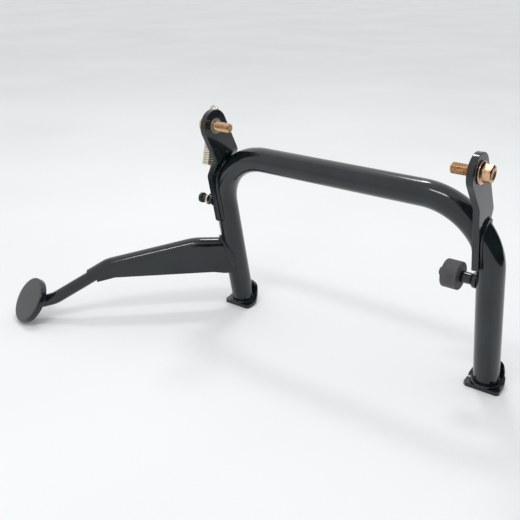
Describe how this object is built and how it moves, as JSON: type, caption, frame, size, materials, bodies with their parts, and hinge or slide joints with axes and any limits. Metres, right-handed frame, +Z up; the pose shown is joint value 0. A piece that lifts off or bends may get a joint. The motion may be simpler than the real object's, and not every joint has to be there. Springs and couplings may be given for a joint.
{
  "type": "scooter centre stand",
  "caption": "Bent tube stand frame with welded pivot ears and pivot bolts, flat heeled feet, an outward foot lever with a round pad, a rubber stop and a pinned return spring.",
  "frame": {"origin": "on the ground, in the middle of the flat of the left foot's sole", "axes": "+X along the pivot axis toward the stand's right side, +Z up, +Y toward the heels and the return spring, -Y toward the pedal side"},
  "size_m": [0.5173, 0.2175, 0.2479],
  "materials": {
    "frame_paint": "gloss black paint",
    "weld_paint": "gloss black paint over rough weld",
    "bush_steel": "plain turned steel",
    "bolt_zinc": "yellow passivated zinc",
    "spring_steel": "pale plated spring wire",
    "stop_rubber": "matte moulded rubber"
  },
  "bodies": {
    "frame": {"main_tube": "frame_paint", "left_bracket": "frame_paint", "right_bracket": "frame_paint", "left_bracket_weld": "weld_paint", "right_bracket_weld": "weld_paint", "left_bush": "bush_steel", "right_bush": "bush_steel", "left_foot": "frame_paint", "right_foot": "frame_paint", "left_foot_weld": "weld_paint", "right_foot_weld": "weld_paint", "lever_rod": "frame_paint", "lever_gusset": "frame_paint", "gusset_weld": "weld_paint", "lever_pad": "frame_paint", "pad_weld": "weld_paint", "spring_pin": "frame_paint", "pin_weld": "weld_paint", "stop_stud": "frame_paint", "stop_rubber": "stop_rubber"},
    "left_bolt": {"left_pivot_bolt": "bolt_zinc"},
    "right_bolt": {"right_pivot_bolt": "bolt_zinc"},
    "spring": {"return_spring": "spring_steel"}
  },
  "joints": [
    {"name": "left_bolt_turn", "type": "hinge", "parent": "frame", "child": "left_bolt", "pos_m": [0.0145, -0.05657, 0.23137], "axis": [1, 0, 0], "continuous": true},
    {"name": "right_bolt_turn", "type": "hinge", "parent": "frame", "child": "right_bolt", "pos_m": [0.302, -0.05657, 0.23137], "axis": [1, 0, 0], "continuous": true},
    {"name": "spring_swing", "type": "hinge", "parent": "frame", "child": "spring", "pos_m": [-0.01175, -0.03308, 0.14081], "axis": [1, 0, 0], "range_deg": [-20, 120]}
  ]
}
